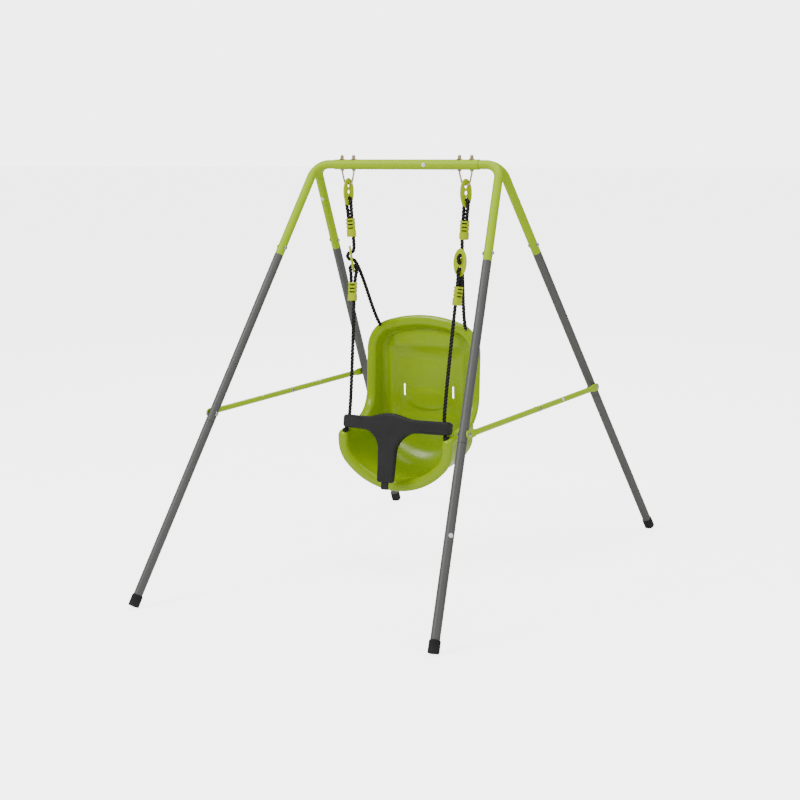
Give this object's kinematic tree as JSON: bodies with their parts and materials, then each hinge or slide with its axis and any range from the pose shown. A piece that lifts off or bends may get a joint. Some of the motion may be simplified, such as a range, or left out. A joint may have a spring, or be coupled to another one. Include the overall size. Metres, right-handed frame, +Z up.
{
  "type": "toddler swing set",
  "caption": "Free-standing toddler swing: two tubular A-frames under a crossbar, with a moulded bucket seat on ropes and a T-shaped guard bar that slides up.",
  "frame": {"origin": "on the ground, under the middle of the crossbar", "axes": "+X along the crossbar, to a seated child's left; +Y from the front of the seat to its back; +Z up"},
  "size_m": [0.94, 1.46, 1.18],
  "materials": {
    "lime_paint": "satin powder coat, yellow green",
    "grey_paint": "metallic dark grey powder coat",
    "black_rubber": "matt black moulded rubber",
    "yellow_zinc": "yellow zinc plated steel",
    "bright_zinc": "bright zinc plated steel",
    "black_rope": "black laid polypropylene rope",
    "lime_plastic": "satin moulded plastic, lime",
    "seat_plastic": "glossy moulded polyethylene, lime",
    "charcoal_plastic": "matt charcoal moulded plastic"
  },
  "bodies": {
    "frame": {"crossbar": "lime_paint", "corner_fitting_left": "lime_paint", "corner_fitting_right": "lime_paint", "upper_leg_front_left": "grey_paint", "upper_leg_front_right": "grey_paint", "upper_leg_rear_left": "grey_paint", "upper_leg_rear_right": "grey_paint", "lower_leg_front_left": "grey_paint", "lower_leg_front_right": "grey_paint", "lower_leg_rear_left": "grey_paint", "lower_leg_rear_right": "grey_paint", "foot_cap_front_left": "black_rubber", "foot_cap_front_right": "black_rubber", "foot_cap_rear_left": "black_rubber", "foot_cap_rear_right": "black_rubber", "leg_joint_bolts": "bright_zinc", "leg_joint_nuts": "bright_zinc", "brace_end_bolts": "bright_zinc", "brace_end_nuts": "bright_zinc", "brace_front_left": "lime_paint", "brace_front_right": "lime_paint", "brace_rear_left": "lime_paint", "brace_rear_right": "lime_paint", "brace_middle_bolts": "bright_zinc", "brace_middle_nuts": "bright_zinc", "hanger_bolt_left": "yellow_zinc", "hanger_bolt_right": "yellow_zinc", "hanger_cap_nuts": "yellow_zinc", "hanger_washers": "yellow_zinc", "hanger_jam_nuts": "yellow_zinc"},
    "swing": {"top_plate_left": "lime_plastic", "top_plate_right": "lime_plastic", "lower_plate_left": "lime_plastic", "lower_plate_right": "lime_plastic", "suspension_rope_left": "black_rope", "suspension_rope_right": "black_rope", "front_rope_left": "black_rope", "front_rope_right": "black_rope", "rear_knot_left": "black_rope", "rear_knot_right": "black_rope", "front_knot_left": "black_rope", "front_knot_right": "black_rope", "seat_shell": "seat_plastic", "rim_grommet_left": "black_rubber", "rim_grommet_right": "black_rubber"},
    "guard_bar": {"guard_bar": "charcoal_plastic"},
    "upper_rope_lock_left": {"upper_rope_lock_left": "lime_plastic"},
    "upper_rope_lock_right": {"upper_rope_lock_right": "lime_plastic"},
    "lower_rope_lock_left": {"lower_rope_lock_left": "lime_plastic"},
    "lower_rope_lock_right": {"lower_rope_lock_right": "lime_plastic"}
  },
  "joints": [
    {"name": "swing_hinge", "type": "hinge", "parent": "frame", "child": "swing", "pos_m": [0, 0, 1.0973], "axis": [1, 0, 0], "range_deg": [-45, 45]},
    {"name": "guard_bar_slide", "type": "slide", "parent": "swing", "child": "guard_bar", "axis": [0, 0.1623, 0.9867], "range_m": [0, 0.08]},
    {"name": "upper_rope_lock_left_slide", "type": "slide", "parent": "swing", "child": "upper_rope_lock_left", "axis": [-0.082, 0.0235, 0.9964], "range_m": [0, 0.006]},
    {"name": "upper_rope_lock_right_slide", "type": "slide", "parent": "swing", "child": "upper_rope_lock_right", "axis": [0.082, -0.0235, 0.9964], "range_m": [0, 0.006]},
    {"name": "lower_rope_lock_left_slide", "type": "slide", "parent": "swing", "child": "lower_rope_lock_left", "axis": [-0.044, 0.1689, 0.9846], "range_m": [0, 0.006]},
    {"name": "lower_rope_lock_right_slide", "type": "slide", "parent": "swing", "child": "lower_rope_lock_right", "axis": [0.05, 0.1549, 0.9867], "range_m": [0, 0.006]}
  ]
}
